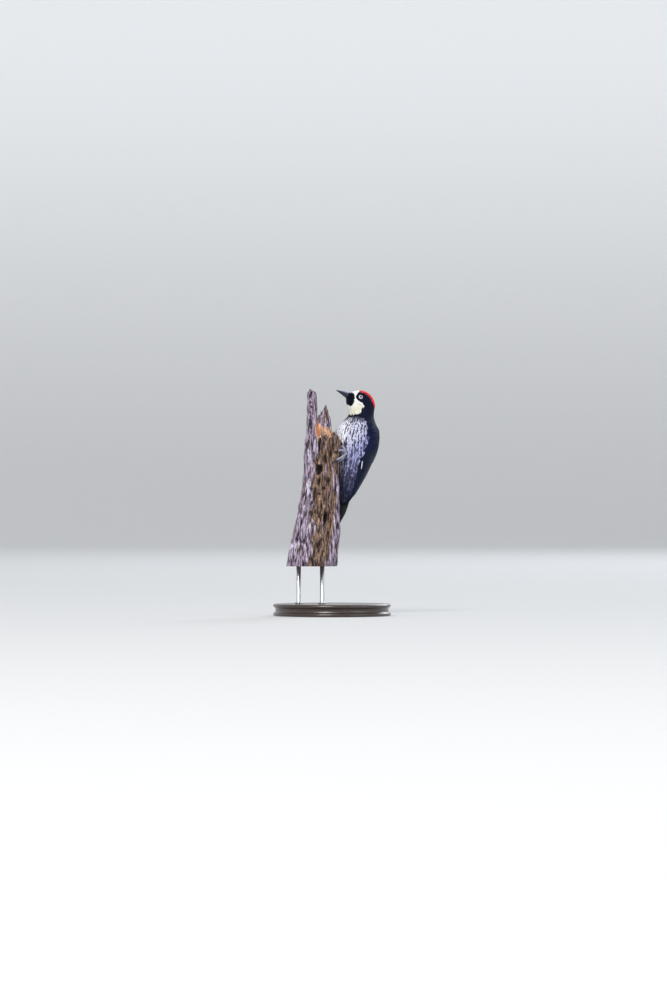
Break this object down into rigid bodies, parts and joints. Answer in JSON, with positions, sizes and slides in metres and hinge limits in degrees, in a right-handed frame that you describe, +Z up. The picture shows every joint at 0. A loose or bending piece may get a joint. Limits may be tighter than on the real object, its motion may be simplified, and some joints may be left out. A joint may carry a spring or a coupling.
{
  "type": "acorn woodpecker on a dead spire",
  "caption": "Life-size still model of an adult male acorn woodpecker clinging upright to the broken spire of a dead tree, held by rods over a round base",
  "frame": {"origin": "the middle of the round base's underside", "axes": "+Z up along the spire, +X to the side of the spire that the bird clings to, with its bill towards -X, +Y to the far side, where the bird's right leg is"},
  "size_m": [0.156, 0.156, 0.2999],
  "materials": {
    "plumage_black": "black feathers with a slight blue gloss; red crown, white forehead and yellow-white throat are in the visual model",
    "plumage_streaked": "white breast and belly feathers with black streaks",
    "wing_black": "black flight feathers with a blue gloss",
    "tail_black": "stiff black tail feathers",
    "bill_horn": "slate-black horn, satin",
    "eye_white": "wet eye with a white iris",
    "foot_skin": "grey scaled skin",
    "claw_horn": "dark horn, satin",
    "dead_wood": "weathered, fibrous dead wood",
    "base_lacquer": "turned wood with black satin lacquer",
    "rod_steel": "brushed"
  },
  "bodies": {
    "root": {"head": "plumage_black", "neck": "plumage_black", "trunk": "plumage_streaked", "wing_left": "wing_black", "wing_right": "wing_black", "tail": "tail_black", "upper_bill": "bill_horn", "lower_bill": "bill_horn", "eye_left": "eye_white", "eye_right": "eye_white", "leg_left": "foot_skin", "leg_right": "foot_skin", "claw_left_1": "claw_horn", "claw_left_2": "claw_horn", "claw_left_3": "claw_horn", "claw_left_4": "claw_horn", "claw_right_1": "claw_horn", "claw_right_2": "claw_horn", "claw_right_3": "claw_horn", "claw_right_4": "claw_horn", "perch": "dead_wood", "stand_base": "base_lacquer", "stand_rod_1": "rod_steel", "stand_rod_2": "rod_steel"}
  },
  "joints": []
}
